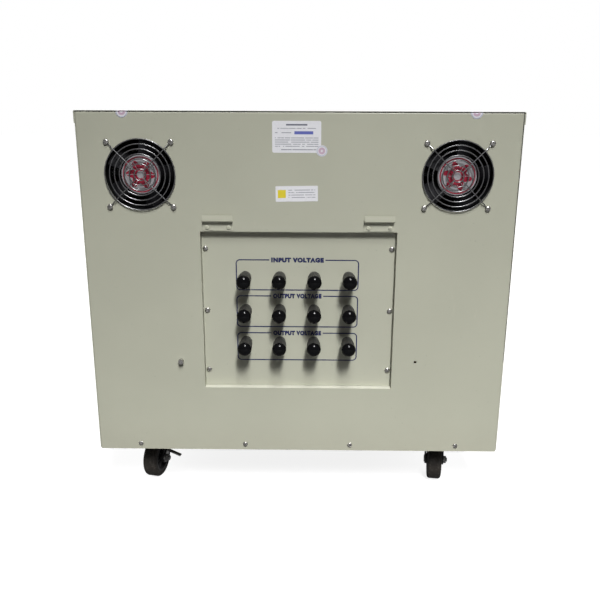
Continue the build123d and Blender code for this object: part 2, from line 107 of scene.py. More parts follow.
# Colours of plastic and rubber, linear
CAP_BLACK = (0.004, 0.004, 0.005)
CAP_BARREL = (0.022, 0.022, 0.021)
COLLAR_BLACK = (0.02, 0.02, 0.02)
FAN_FRAME_BLACK = (0.006, 0.006, 0.007)
FAN_ROTOR_BLACK = (0.006, 0.006, 0.0075)
TYRE_BLACK = (0.016, 0.0125, 0.0095)
WHEEL_BLACK = (0.016, 0.016, 0.017)
# Painted shade: the dark strip in the seam at the panel's top and right edges
SEAM_SHADE_BLACK = (0.03, 0.03, 0.029)

# Colours of metal, linear
ZINC = (0.42, 0.41, 0.395)
WIRE = (0.22, 0.22, 0.225)
BRASS = (0.60, 0.42, 0.17)
CASTER_STEEL = (0.03, 0.03, 0.031)
LEVER_STEEL = (0.52, 0.52, 0.51)
AXLE_STEEL = (0.28, 0.28, 0.275)
CLAMP_STEEL = (0.16, 0.16, 0.15)
CORE_STEEL = (0.10, 0.10, 0.105)
CORE_DARK = (0.06, 0.06, 0.065)
CORE_PALE = (0.16, 0.155, 0.15)
COPPER = (0.34, 0.14, 0.05)
COPPER_DARK = (0.17, 0.07, 0.03)
COPPER_PALE = (0.46, 0.21, 0.08)

# The stretch that most values of a noise fall in
NOISE_LOW = 0.3
NOISE_HIGH = 0.7

# How deep the surfaces' bumps look, millimetres
PEEL_DEPTH = 0.25
GRAIN_DEPTH = 0.2
CAP_GRAIN_DEPTH = 0.15
METAL_GRAIN_DEPTH = 0.1
PAPER_GRAIN_DEPTH = 0.1
INK_GRAIN_DEPTH = 0.05
CORE_SHEET_DEPTH = 0.3
WINDING_TURN_DEPTH = 0.5


def fill(node, values):
    """Sets a node's inputs by name."""
    for name, value in values.items():
        node.inputs[name].default_value = value


class Shader:
    """A procedural material with short ways to make and wire its nodes."""

    def __init__(self, name, colour, rough, metal=0.0, specular=0.5):
        self.material = bpy.data.materials.new(name)
        self.material.use_nodes = True
        self.tree = self.material.node_tree
        self.surface = self.tree.nodes["Principled BSDF"]
        fill(self.surface, {"Base Color": (*colour, 1), "Roughness": rough})
        fill(self.surface, {"Metallic": metal, "Specular IOR Level": specular})
        self.where = self.tree.nodes.new("ShaderNodeTexCoord").outputs["Object"]

    def add(self, kind, **settings):
        """Makes a node with its settings."""
        made = self.tree.nodes.new("ShaderNode" + kind)
        for key, value in settings.items():
            setattr(made, key, value)
        return made

    def wire(self, source, target):
        """Links an output to an input."""
        self.tree.links.new(source, target)

    def math(self, operation, first, second=0.0, third=0.0):
        """One sum of numbers or outputs."""
        made = self.add("Math", operation=operation)
        for socket, value in zip(made.inputs, (first, second, third)):
            if isinstance(value, (int, float)):
                socket.default_value = value
            else:
                self.wire(value, socket)
        return made.outputs[0]

    def noise(self, scale, detail, rough=0.55, where=None):
        """Noise over the object, its scale in waves a metre."""
        made = self.add("TexNoise")
        fill(made, {"Scale": scale, "Detail": detail, "Roughness": rough})
        self.wire(where or self.where, made.inputs["Vector"])
        return made.outputs["Fac"]

    def stretched(self, scale):
        """Places on the object, scaled along each axis."""
        made = self.add("Mapping")
        fill(made, {"Scale": scale})
        self.wire(self.where, made.inputs["Vector"])
        return made.outputs["Vector"]

    def ramp(self, source, low, high, start=0.0, end=1.0):
        """A value led from one range to another and held there."""
        made = self.add("MapRange", clamp=True)
        fill(made, {"From Min": low, "From Max": high, "To Min": start, "To Max": end})
        self.wire(source, made.inputs["Value"])
        return made.outputs["Result"]

    def patches(self, scale, detail, low=NOISE_LOW, high=NOISE_HIGH, rough=0.55, where=None):
        """Noise that is 0 up to a low value of it and 1 from a high value on."""
        return self.ramp(self.noise(scale, detail, rough, where), low, high)

    def mix(self, factor, first, second):
        """A colour between two."""
        made = self.add("Mix", data_type="RGBA")
        self.wire(factor, made.inputs[0])
        for socket, value in ((made.inputs[6], first), (made.inputs[7], second)):
            if isinstance(value, tuple):
                socket.default_value = (*value, 1)
            else:
                self.wire(value, socket)
        return made.outputs[2]

    def tint(self, base, cover, strength, colour):
        """A base colour that patches of another colour cover in part."""
        return self.mix(self.math("MULTIPLY", cover, strength), base, colour)

    def axis(self, name):
        """One coordinate on the object, in metres."""
        made = self.add("SeparateXYZ")
        self.wire(self.where, made.inputs[0])
        return made.outputs[name]

    def reach(self):
        """Distance from the object's origin."""
        made = self.add("VectorMath", operation="LENGTH")
        self.wire(self.where, made.inputs[0])
        return made.outputs["Value"]

    def apart(self, source, value):
        """How far a source is from a value, either way."""
        return self.math("ABSOLUTE", self.math("SUBTRACT", source, value))

    def bump(self, height, strength, depth):
        """Bumps after a noise, with their depth in millimetres."""
        made = self.add("Bump")
        fill(made, {"Strength": strength, "Distance": depth * MM})
        self.wire(height, made.inputs["Height"])
        self.wire(made.outputs["Normal"], self.surface.inputs["Normal"])

    def colour(self, source):
        """Sets what the base colour follows."""
        self.wire(source, self.surface.inputs["Base Color"])

    def rough(self, source, smoothest, roughest, low=NOISE_LOW, high=NOISE_HIGH):
        """Sets roughness that follows a source from its low to its high value."""
        self.wire(self.ramp(source, low, high, smoothest, roughest), self.surface.inputs["Roughness"])


def scaled(colour, share):
    """A colour made lighter or darker."""
    return tuple(channel * share for channel in colour)


# How far dirt climbs from the panel's bottom edge, millimetres
DIRT_RISE = 60.0

# The wiped top: where it starts and is full, millimetres below the panel's top edge, and the share of pale
# dust and painted top light left on it
WIPE_START = 60.0
WIPE_END = 30.0
WIPED_SHARE = 0.3


def dust_and_top_light(look):
    """How much pale dust and painted top light lie on paint: only where it faces up, and less on the wiped
    lid.
    """
    facing = look.add("SeparateXYZ")
    look.wire(look.add("NewGeometry").outputs["Normal"], facing.inputs[0])
    upward = look.ramp(facing.outputs["Z"], 0.7, 0.95)
    evenness = look.ramp(look.noise(scale=45.0, detail=4.0), 0.2, 0.8, start=0.3, end=0.42)
    start = panel_high.z - WIPE_START * MM
    end = panel_high.z - WIPE_END * MM
    wiped = look.ramp(look.axis("Z"), start, end, 1.0, WIPED_SHARE)
    return look.math("MULTIPLY", upward, look.math("MULTIPLY", evenness, wiped))


def paint(name, colour, rough=0.42):
    """Sprayed sheet steel: orange peel, clouding, specks, scuffs, dirt low down, and pale dust with painted
    top light on upward faces.
    """
    look = Shader(name, colour, rough)
    cloud = look.patches(scale=5.0, detail=4.0)
    base = look.mix(cloud, scaled(colour, 0.965), scaled(colour, 1.03))
    speck = look.patches(scale=140.0, detail=2.0, low=0.70, high=0.76)
    base = look.tint(base, speck, 0.22, scaled(colour, 0.55))
    tall = look.stretched((1.0, 1.0, 0.25))
    scuff = look.patches(scale=26.0, detail=6.0, low=0.66, high=0.78, rough=0.7, where=tall)
    base = look.tint(base, scuff, 0.18, scaled(colour, 1.35))
    low_down = look.ramp(look.axis("Z"), FOOT, FOOT + DIRT_RISE * MM, start=1.0, end=0.0)
    dirt = look.math("MULTIPLY", low_down, look.noise(scale=38.0, detail=5.0, rough=0.65))
    base = look.tint(base, dirt, 0.28, FLOOR_DIRT)
    # Upward faces made paler: pale dust and painted top light
    look.colour(look.mix(dust_and_top_light(look), base, PALE_DUST_AND_TOP_LIGHT))
    sheen = look.noise(scale=60.0, detail=3.0)
    look.rough(sheen, rough - 0.06, rough + 0.08)
    look.bump(look.noise(scale=520.0, detail=2.0), 0.12, PEEL_DEPTH)
    return look.material


def moulding(name, colour, rough, grain, dust=0.0, bump=0.2, specular=0.5):
    """Moulded black plastic or rubber with a fine grain and a little dust."""
    look = Shader(name, colour, rough, specular=specular)
    cloud = look.patches(scale=70.0, detail=4.0, low=0.35)
    base = look.mix(cloud, scaled(colour, 0.75), scaled(colour, 1.5))
    grey = look.patches(scale=210.0, detail=5.0, low=0.52, high=0.8, rough=0.7)
    look.colour(look.tint(base, grey, dust, GREY_DUST))
    sheen = look.noise(scale=160.0, detail=3.0)
    look.rough(sheen, rough * 0.85, min(1.0, rough * 1.2))
    look.bump(look.noise(grain, detail=3.0), bump, GRAIN_DEPTH)
    return look.material


# Where a terminal cap's dome ends and its gripped barrel begins, millimetres behind its tip
DOME_END = 7.5
BARREL_START = 9.5


def terminal_cap():
    """Bakelite cap: a glossy dome and a duller gripped barrel that holds dust."""
    look = Shader("terminal_cap", CAP_BLACK, 0.2, specular=0.15)
    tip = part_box("input_caps")[0][1]
    barrel = look.ramp(look.axis("Y"), tip + DOME_END * MM, tip + BARREL_START * MM)
    grime = look.patches(scale=260.0, detail=5.0, low=0.4, high=0.75, rough=0.7)
    base = look.mix(barrel, scaled(CAP_BLACK, 0.5), CAP_BARREL)
    look.colour(look.tint(base, look.math("MULTIPLY", grime, barrel), 0.35, CAP_DUST))
    look.rough(barrel, smoothest=0.14, roughest=0.5, low=0.0, high=1.0)
    look.bump(look.noise(scale=900.0, detail=2.0), 0.08, CAP_GRAIN_DEPTH)
    return look.material


def metal(name, colour, rough, tarnish=0.25, bump=0.06):
    """Plated or bare metal with a fine grain and dull patches."""
    look = Shader(name, colour, rough, metal=1.0)
    dull = look.patches(scale=90.0, detail=5.0, low=0.45, high=0.75, rough=0.65)
    look.colour(look.tint(colour, dull, tarnish, scaled(colour, 0.45)))
    grain = look.noise(scale=300.0, detail=3.0, rough=0.6)
    look.rough(grain, rough * 0.8, min(1.0, rough * 1.35))
    look.bump(grain, bump, METAL_GRAIN_DEPTH)
    return look.material


def dark_steel(name, colour, rough):
    """Painted pressed steel with grey rubbed patches."""
    look = Shader(name, colour, rough)
    rubbed = look.patches(scale=55.0, detail=6.0, low=0.56, high=0.72, rough=0.7)
    look.colour(look.tint(colour, rubbed, 0.5, RUBBED_STEEL))
    sheen = look.noise(scale=120.0, detail=3.0)
    look.rough(sheen, rough - 0.08, rough + 0.12)
    look.bump(look.noise(scale=420.0, detail=3.0), 0.15, GRAIN_DEPTH)
    return look.material


def laminations():
    """Stacked core steel, its sheets seen as fine bands across the stack."""
    look = Shader("laminations", CORE_STEEL, 0.45, metal=0.7)
    stacked = look.stretched((0.01, 1.0, 0.01))
    bands = look.noise(scale=900.0, detail=1.0, rough=0.5, where=stacked)
    look.colour(look.mix(look.ramp(bands, 0.35, 0.65), CORE_DARK, CORE_PALE))
    look.bump(bands, 0.4, CORE_SHEET_DEPTH)
    return look.material


def wound_copper():
    """Varnished winding with its turns as level bands."""
    look = Shader("wound_copper", COPPER, 0.35, metal=0.4)
    level = look.stretched((0.02, 0.02, 1.0))
    turns = look.noise(scale=420.0, detail=1.0, rough=0.5, where=level)
    look.colour(look.mix(look.ramp(turns, 0.35, 0.65), COPPER_DARK, COPPER_PALE))
    look.bump(turns, 0.5, WINDING_TURN_DEPTH)
    return look.material


def ink(name, colour):
    """Screen-printed ink with thin places."""
    look = Shader(name, colour, 0.5)
    worn = look.patches(scale=500.0, detail=5.0, low=0.60, high=0.80, rough=0.7)
    look.colour(look.tint(colour, worn, 0.35, scaled(KHAKI_PLATE, 0.8)))
    look.bump(look.noise(scale=800.0, detail=2.0), 0.05, INK_GRAIN_DEPTH)
    return look.material


# How softly printed bars end, millimetres
BAR_BLUR = 0.3


def barred_paper(name, bars):
    """White sticker with plain printed bars: middle, size and ink of each, and whether it is unbroken."""
    look = Shader(name, PAPER, 0.5)
    fibre = look.patches(scale=300.0, detail=5.0, rough=0.6)
    base = look.mix(fibre, scaled(PAPER, 0.95), scaled(PAPER, 1.02))
    upright = look.stretched((1.0, 0.0, 0.55))
    broken = look.patches(scale=170.0, detail=2.0, low=0.40, high=0.44, rough=0.5, where=upright)
    for middle, size, colour, whole in bars:
        mark = None
        for axis, centre, length in zip("XZ", middle, size):
            apart = look.apart(look.axis(axis), centre * MM)
            inside = look.ramp(apart, length / 2 * MM, (length / 2 + BAR_BLUR) * MM, start=1.0, end=0.0)
            mark = inside if mark is None else look.math("MULTIPLY", mark, inside)
        if not whole:
            mark = look.math("MULTIPLY", look.math("MULTIPLY", mark, broken), 0.8)
        base = look.mix(mark, base, colour)
    look.colour(base)
    look.bump(look.noise(scale=500.0, detail=3.0), 0.05, PAPER_GRAIN_DEPTH)
    return look.material


# Rings printed on the seals: middle and width as shares of the seal's radius, and ink
SEAL_RING_SHARES = ((0.86, 0.06, OUTER_RING_INK), (0.40, 0.26, INNER_RING_INK))


def ringed_seal(name, radius):
    """Round paper seal with two plain printed rings."""
    look = Shader(name, PAPER, 0.45)
    reach = look.reach()
    base = look.mix(look.patches(scale=260.0, detail=4.0), scaled(PAPER, 0.86), scaled(PAPER, 0.98))
    for share, width_share, colour in SEAL_RING_SHARES:
        width = radius * width_share
        ring = look.ramp(look.apart(reach, radius * share), width / 2, width, start=1.0, end=0.0)
        base = look.tint(base, ring, 0.7, colour)
    look.colour(base)
    look.bump(look.noise(scale=500.0, detail=3.0), 0.05, PAPER_GRAIN_DEPTH)
    return look.material


# Rosette and ring of the hub foils, as shares of the foil's radius, and their soft edge in millimetres
PETALS = 6
PETAL_SHARE = 0.62
PETAL_WAVE_SHARE = 0.15
HEART_SHARE = 0.2
FOIL_RING_SHARE = 0.9
FOIL_RING_FULL_SHARE = 0.025
FOIL_RING_END_SHARE = 0.045
FOIL_BLUR = 0.4


def hub_foil(name, radius, turn):
    """Silver foil disc with a red rosette of plain petals and a ring."""
    look = Shader(name, FOIL, 0.3, metal=0.35)
    across = look.axis("X")
    up = look.axis("Z")
    squares = look.math("ADD", look.math("POWER", across, 2.0), look.math("POWER", up, 2.0))
    reach = look.math("SQRT", squares)
    angle = look.math("ARCTAN2", up, across)
    wave = look.math("COSINE", look.math("MULTIPLY_ADD", angle, PETALS, turn))
    edge = look.math("MULTIPLY_ADD", wave, PETAL_WAVE_SHARE * radius, PETAL_SHARE * radius)
    blur = FOIL_BLUR * MM
    petal = look.ramp(look.math("SUBTRACT", edge, reach), -blur, blur)
    heart = look.ramp(look.math("SUBTRACT", reach, HEART_SHARE * radius), -blur, blur)
    spokes = look.math("SINE", look.math("MULTIPLY", angle, PETALS / 2))
    split = look.ramp(look.math("ABSOLUTE", spokes), 0.05, 0.14)
    rosette = look.math("MULTIPLY", look.math("MULTIPLY", petal, heart), split)
    off_ring = look.apart(reach, FOIL_RING_SHARE * radius)
    full = FOIL_RING_FULL_SHARE * radius
    ring = look.ramp(off_ring, full, FOIL_RING_END_SHARE * radius, start=1.0, end=0.0)
    red = look.math("MAXIMUM", rosette, ring)
    base = look.mix(look.patches(scale=140.0, detail=4.0), scaled(FOIL, 0.8), FOIL)
    look.colour(look.mix(red, base, RED))
    look.wire(look.ramp(red, 0.0, 1.0, start=0.35, end=0.1), look.surface.inputs["Metallic"])
    look.bump(look.noise(scale=420.0, detail=3.0), 0.08, PAPER_GRAIN_DEPTH)
    return look.material


def dress(material, *nodes):
    """Gives CAD nodes their material."""
    for name in nodes:
        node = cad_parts[name]
        node.data.materials.clear()
        node.data.materials.append(material)


# Edges that bend more than this stay sharp
SHARP_ANGLE = radians(35)


def smooth(mesh, angle):
    """Shades a mesh smooth with its sharp edges kept."""
    for face in mesh.polygons:
        face.use_smooth = True
    mesh.set_sharp_from_angle(angle=angle)


def piece(name, mesh, material, body="cabinet", place=None):
    """Makes a named piece of the object from a mesh and lets it ride on a body."""
    made = bpy.data.objects.new(name, mesh)
    bpy.context.scene.collection.objects.link(made)
    made.data.materials.append(material)
    if place is not None:
        made.matrix_world = place
    bpy.context.view_layer.update()
    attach(made, body)
    return made


def finished(shape, name, angle=SHARP_ANGLE):
    """Turns a bmesh into a smooth mesh."""
    bmesh.ops.recalc_face_normals(shape, faces=shape.faces)
    mesh = bpy.data.meshes.new(name)
    shape.to_mesh(mesh)
    shape.free()
    smooth(mesh, angle)
    return mesh


def turns_of(count):
    """The angles of equal steps round a circle."""
    return [2 * pi * k / count for k in range(count)]


# Corners of a wire's section
WIRE_SIDES = 10


def tube(shape, points, up, radius, closed=False):
    """Adds round wire along points that lie in a plane square to up."""
    count = len(points)
    loops = []
    for i, point in enumerate(points):
        ahead = points[(i + 1) % count] if closed or i < count - 1 else point
        behind = points[i - 1] if closed or i > 0 else point
        across = (ahead - behind).normalized().cross(up).normalized()
        ring = [point + radius * (cos(t) * across + sin(t) * up) for t in turns_of(WIRE_SIDES)]
        loops.append([shape.verts.new(corner) for corner in ring])
    for i in range(count if closed else count - 1):
        first, second = loops[i], loops[(i + 1) % count]
        for k in range(WIRE_SIDES):
            following = (k + 1) % WIRE_SIDES
            shape.faces.new((first[k], first[following], second[following], second[k]))
    if not closed:
        shape.faces.new(loops[0])
        shape.faces.new(reversed(loops[-1]))


def circle_points(centre, radius, count):
    """Points round an upright circle that faces the front."""
    return [centre + radius * (cos(t) * RIGHT + sin(t) * UP) for t in turns_of(count)]


def eased(share):
    """A smooth step from 0 to 1."""
    share = max(0.0, min(1.0, share))
    return share * share * (3 - 2 * share)


# Wire guards of the fans, millimetres
GUARD_WIRE = 1.9
GUARD_INNER = 9.5
GUARD_PITCH = 8.0
GUARD_RING_OUT = 3.05
GUARD_LEG_START = 8.5
GUARD_LEG_OUT = 4.4
GUARD_BEND = 59.0
GUARD_EYE = 4.6
FAN_HOLES = 105.0

# Counts of a guard: rings, corners of the inner ring, corners each next ring adds, and of eyes and legs
GUARD_RINGS = 7
INNER_RING_SIDES = 48
ADDED_RING_SIDES = 8
EYE_SIDES = 28
LEG_STEPS = 40


def fan_centre(side):
    """Middle of a fan on the panel's face."""
    low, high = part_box(f"{side}_fan_frame")
    return Vector(((low[0] + high[0]) / 2, FRONT, (low[2] + high[2]) / 2))


def guard(side, material):
    """Finger guard: rings of round wire on four bent legs that end in eyes under the screws."""
    centre = fan_centre(side)
    radius = GUARD_WIRE / 2 * MM
    shape = bmesh.new()
    for ring in range(GUARD_RINGS):
        reach = (GUARD_INNER + ring * GUARD_PITCH) * MM
        sides = INNER_RING_SIDES + ADDED_RING_SIDES * ring
        points = circle_points(centre + OUT * GUARD_RING_OUT * MM, reach, sides)
        tube(shape, points, OUT, radius, closed=True)
    eye_reach = FAN_HOLES / 2 * 2 ** 0.5
    leg_end = eye_reach - GUARD_EYE + GUARD_WIRE / 2
    for quarter in range(4):
        angle = radians(45 + 90 * quarter)
        along = RIGHT * cos(angle) + UP * sin(angle)
        points = []
        for step in range(LEG_STEPS + 1):
            reach = GUARD_LEG_START + (leg_end - GUARD_LEG_START) * step / LEG_STEPS
            fall = eased((reach - GUARD_BEND) / (leg_end - GUARD_BEND))
            height = GUARD_LEG_OUT + (GUARD_WIRE / 2 - GUARD_LEG_OUT) * fall
            points.append(centre + (along * reach + OUT * height) * MM)
        tube(shape, points, along.cross(OUT), radius)
        eye = centre + along * eye_reach * MM + OUT * radius
        eye_points = circle_points(eye, (GUARD_EYE - GUARD_WIRE / 2) * MM, EYE_SIDES)
        tube(shape, eye_points, OUT, radius, closed=True)
    name = f"{side}_guard_wires"
    made = piece(name, finished(shape, name), material)
    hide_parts(f"{side}_fan_guard")


def turned(profile, steps):
    """A bmesh of a profile of radius and height pairs turned about Z, closed at the axis."""
    shape = bmesh.new()
    rings = []
    for radius, height in profile:
        if radius == 0:
            rings.append([shape.verts.new((0, 0, height))])
        else:
            circle = [(radius * cos(t), radius * sin(t), height) for t in turns_of(steps)]
            rings.append([shape.verts.new(corner) for corner in circle])
    for lower, upper in zip(rings, rings[1:]):
        for k in range(steps):
            corners = [lower[k % len(lower)], lower[(k + 1) % len(lower)]]
            corners += [upper[(k + 1) % len(upper)], upper[k % len(upper)]]
            shape.faces.new(list(dict.fromkeys(corners)))
    return shape


# Screw heads: the straight rim as a share of the height, the cross as shares of radius and height
RIM_SHARE = 0.35
CROSS_LENGTH_SHARE = 1.15
CROSS_WIDTH_SHARE = 0.26
CROSS_DEPTH_SHARE = 1.1

# Screw heads: how full the rounded top is, the steps of its curve and its corners
HEAD_FULLNESS = 0.8
HEAD_STEPS = 6
HEAD_SIDES = 32


def screw_head(radius, height):
    """Pan head with a cross recess, standing on Z, as a mesh to copy. Its sizes are in millimetres."""
    radius *= MM
    height *= MM
    profile = [(0, 0), (radius, 0), (radius, height * RIM_SHARE)]
    for k in range(1, HEAD_STEPS):
        lean = pi / 2 * k / HEAD_STEPS
        rise = RIM_SHARE + (1 - RIM_SHARE) * sin(lean)
        profile.append((radius * cos(lean) ** HEAD_FULLNESS, height * rise))
    profile.append((0, height))
    head = bpy.data.objects.new("head", finished(turned(profile, HEAD_SIDES), "head"))
    cutter_shape = bmesh.new()
    slot_size = (radius * CROSS_LENGTH_SHARE, radius * CROSS_WIDTH_SHARE, height * CROSS_DEPTH_SHARE, 1)
    for turn in (0, pi / 2):
        spin = Matrix.Rotation(turn, 4, "Z")
        lift = Matrix.Translation((0, 0, height))
        bmesh.ops.create_cube(cutter_shape, size=1, matrix=spin @ lift @ Matrix.Diagonal(slot_size))
    cutter = bpy.data.objects.new("cutter", finished(cutter_shape, "cutter"))
    for made in (head, cutter):
        bpy.context.scene.collection.objects.link(made)
    cut = head.modifiers.new("recess", "BOOLEAN")
    cut.object = cutter
    cut.use_self = True
    graph = bpy.context.evaluated_depsgraph_get()
    mesh = bpy.data.meshes.new_from_object(head.evaluated_get(graph))
    for made in (head, cutter):
        bpy.data.objects.remove(made)
    return mesh


def copies(name, mesh, places, material):
    """One piece of the cabinet made of copies of a mesh at the given placements."""
    shape = bmesh.new()
    for place in places:
        part = bmesh.new()
        part.from_mesh(mesh)
        part.transform(place)
        held = bpy.data.meshes.new("held")
        part.to_mesh(held)
        part.free()
        shape.from_mesh(held)
        bpy.data.meshes.remove(held)
    piece(name, finished(shape, name), material)


# How a screw standing on Z is turned to stand out of each side of the cabinet
OUT_FRONT = Matrix.Rotation(radians(90), 4, "X")
OUT_REAR = Matrix.Rotation(radians(-90), 4, "X")
OUT_RIGHT = Matrix.Rotation(radians(90), 4, "Y")
OUT_LEFT = Matrix.Rotation(radians(-90), 4, "Y")


def standing(x, y, z, facing, spin=0.0):
    """Placement of a screw at a point in metres, its cross turned by spin degrees."""
    return Matrix.Translation((x, y, z)) @ facing @ Matrix.Rotation(radians(spin), 4, "Z")


# Radius and height of the screws' heads, and how far the sunk rear ones stand out, millimetres
FAN_SCREW = (4.6, 2.9)
PLATE_SCREW = (4.6, 2.8)
EDGE_SCREW = (4.3, 2.2)
HOOK_SCREW = (3.5, 1.8)
REAR_SCREW = (5.5, 0.5)
REAR_SCREW_PROUD = 0.08

# Places of the screws, millimetres, and shares of the length that they stand along
PLATE_SCREW_X = 158.5
PLATE_SCREW_PITCH = 109.5
EDGE_SCREW_X = (-286.0, -95.5, 94.5, 286.0)
EDGE_SCREW_UP = 11.0
HOOK_SCREW_APART = 36.0
HOOK_SCREW_UP = 5.5
SIDE_SCREW_INSET = 11.0
SIDE_SCREW_DROP = 25.0
LID_SCREW_DROP = 10.0
REAR_SCREW_SHARES = (0.25, 0.75)
LID_SCREW_SHARES = (0.12, 0.5, 0.88)

# Sheet under the screws, millimetres, and how far up the guard's wire the fan screws begin
HOOK_SHEET = 1.5
SIDE_SHEET = 1.5
WIRE_SHARE = 0.7

# How far the screws' crosses are turned, so that they differ, in degrees
FAN_SPIN = 20
FAN_SPIN_STEP = 31
PLATE_SPIN_ROW = 40
PLATE_SPIN_SIDE = 13
HOOK_SPIN = 25

# Degrees that a screw's cross is turned for each metre of its place
ACROSS_SPIN = 1000
RISE_SPIN = 700
SIDE_SPIN = 1000
LID_SPIN = 900


def fan_screws(material):
    """Four screws through the eyes of each fan guard."""
    head = screw_head(*FAN_SCREW)
    y = FRONT - GUARD_WIRE * WIRE_SHARE * MM
    apart = FAN_HOLES / 2 * MM
    for side in SIDES:
        centre = fan_centre(side)
        places = []
        for k, (sx, sz) in enumerate(((-1, -1), (1, -1), (1, 1), (-1, 1))):
            spin = FAN_SPIN + FAN_SPIN_STEP * k
            places.append(standing(centre.x + sx * apart, y, centre.z + sz * apart, OUT_FRONT, spin))
        copies(f"{side}_fan_screws", head, places, material)


def plate_screws(material):
    """Three screws down each side of the terminal plate."""
    places = []
    for sx in (-1, 1):
        for row in (-1, 0, 1):
            x = PLATE_MID_X + sx * PLATE_SCREW_X * MM
            z = PLATE_MID_Z + row * PLATE_SCREW_PITCH * MM
            spin = PLATE_SPIN_ROW * row + PLATE_SPIN_SIDE * sx
            places.append(standing(x, PLATE, z, OUT_FRONT, spin))
    copies("plate_screws", screw_head(*PLATE_SCREW), places, material)


def front_edge_screws(head, material):
    """A row of screws along the front panel's bottom edge."""
    z = FOOT + EDGE_SCREW_UP * MM
    spots = [x * MM for x in EDGE_SCREW_X]
    places = [standing(x, FRONT, z, OUT_FRONT, ACROSS_SPIN * x) for x in spots]
    copies("front_edge_screws", head, places, material)


def rear_edge_screws(material):
    """A ring of nearly flush screws round the rear panel."""
    radius, height = REAR_SCREW
    sunk = REAR - (height - REAR_SCREW_PROUD) * MM
    low = FOOT + EDGE_SCREW_UP * MM
    high = rear_high.z - EDGE_SCREW_UP * MM
    edge_x = rear_high.x - SIDE_SCREW_INSET * MM
    spots = [(x * MM, z) for z in (low, high) for x in EDGE_SCREW_X]
    for side in (-1, 1):
        spots += [(side * edge_x, low + (high - low) * share) for share in REAR_SCREW_SHARES]
    places = [standing(x, sunk, z, OUT_REAR, ACROSS_SPIN * x + RISE_SPIN * z) for x, z in spots]
    copies("rear_edge_screws", screw_head(radius, height), places, material)


def hook_screws(material):
    """Two painted rivets in the leaf of each cover hook."""
    head = screw_head(*HOOK_SCREW)
    for side in SIDES:
        hook_low, hook_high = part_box(f"{side}_cover_hook")
        middle_x = (hook_low[0] + hook_high[0]) / 2
        leaf_y = hook_high[1] - HOOK_SHEET * MM
        z = hook_low[2] + HOOK_SCREW_UP * MM
        places = []
        for sx in (-1, 1):
            x = middle_x + sx * HOOK_SCREW_APART / 2 * MM
            places.append(standing(x, leaf_y, z, OUT_FRONT, HOOK_SPIN * sx))
        copies(f"{side}_hook_screws", head, places, material)


def side_screws(name, face_x, facing, head, material):
    """Three screws up the front and the rear edge of a side panel."""
    inset = SIDE_SCREW_INSET * MM
    levels = (FOOT + EDGE_SCREW_UP * MM, (FOOT + panel_high.z) / 2, lid_low.z - SIDE_SCREW_DROP * MM)
    places = []
    for y in (side_low.y + inset, side_high.y - inset):
        places += [standing(face_x, y, z, facing, SIDE_SPIN * (y + z)) for z in levels]
    copies(name, head, places, material)


def lid_screws(name, skirt_x, facing, head, material):
    """A row of screws along a side of the lid's skirt."""
    z = lid_high.z - LID_SCREW_DROP * MM
    spots = [lid_low.y + (lid_high.y - lid_low.y) * share for share in LID_SCREW_SHARES]
    places = [standing(skirt_x, y, z, facing, LID_SPIN * y) for y in spots]
    copies(name, head, places, material)


def screws(material, painted):
    """Every visible screw of the cabinet, in one piece for each place of use."""
    fan_screws(material)
    plate_screws(material)
    head = screw_head(*EDGE_SCREW)
    front_edge_screws(head, material)
    rear_edge_screws(material)
    hook_screws(painted)
    face_x = side_low.x + SIDE_SHEET * MM
    side_screws("right_side_screws", face_x, OUT_RIGHT, head, material)
    lid_screws("right_lid_screws", lid_high.x, OUT_RIGHT, head, material)
    side_screws("left_side_screws", -face_x, OUT_LEFT, head, material)
    lid_screws("left_lid_screws", lid_low.x, OUT_LEFT, head, material)


# The cover's fixing screw left in the panel: its place and its profile of radius and height, millimetres
COVER_SCREW_X = -205.5
COVER_SCREW_UP = 172.0
COVER_SCREW_PROFILE = (
    (0, 0), (2.3, 0), (2.3, 1.8),
    (4.2, 2.0), (4.7, 2.6), (4.7, 7.8), (4.1, 8.6),
    (2.4, 8.7), (2.2, 8.1), (0, 8.1),
)

# Its knurl: the radius in millimetres beyond which it is cut, its corners and the share left in a groove
KNURL_FROM = 4.4
KNURL_SIDES = 36
KNURL_SHARE = 0.93


def cover_screw(material):
    """Knurled screw of the missing cover, standing out of the left fixing hole."""
    profile = [(radius * MM, height * MM) for radius, height in COVER_SCREW_PROFILE]
    shape = turned(profile, KNURL_SIDES)
    for vert in shape.verts:
        reach = Vector((vert.co.x, vert.co.y)).length
        if reach > KNURL_FROM * MM:
            step = round(atan2(vert.co.y, vert.co.x) / (2 * pi / KNURL_SIDES))
            share = 1.0 if step % 2 else KNURL_SHARE
            vert.co.x *= share
            vert.co.y *= share
    place = standing(COVER_SCREW_X * MM, FRONT, FOOT + COVER_SCREW_UP * MM, OUT_FRONT)
    piece("cover_screw", finished(shape, "cover_screw"), material, place=place)


# Steps round the corner of a label or a printed frame
CORNER_STEPS = 8


def rounded_outline(width, height, corner):
    """Points of a rounded rectangle sized in millimetres, anticlockwise from the top of the right edge."""
    points = []
    for quarter, (sx, sz) in enumerate(((1, 1), (-1, 1), (-1, -1), (1, -1))):
        centre = Vector((sx * (width / 2 - corner), 0, sz * (height / 2 - corner)))
        for step in range(CORNER_STEPS + 1):
            turn = pi / 2 * (quarter + step / CORNER_STEPS)
            points.append((centre + corner * (cos(turn) * RIGHT + sin(turn) * UP)) * MM)
    return points


def slab(shape, outline, depth):
    """Adds a flat outline pushed along Y by a depth in millimetres."""
    face = shape.faces.new([shape.verts.new(point) for point in outline])
    grown = bmesh.ops.extrude_face_region(shape, geom=[face])
    for vert in (item for item in grown["geom"] if isinstance(item, bmesh.types.BMVert)):
        vert.co.y += depth * MM


# Thickness of a sticker, millimetres
STICKER_DEPTH = 0.2


def sticker(name, outline, place, material, body="cabinet"):
    """Thin sticker of any outline, its face to the front."""
    shape = bmesh.new()
    slab(shape, outline, -STICKER_DEPTH)
    piece(name, finished(shape, name), material, body, place)


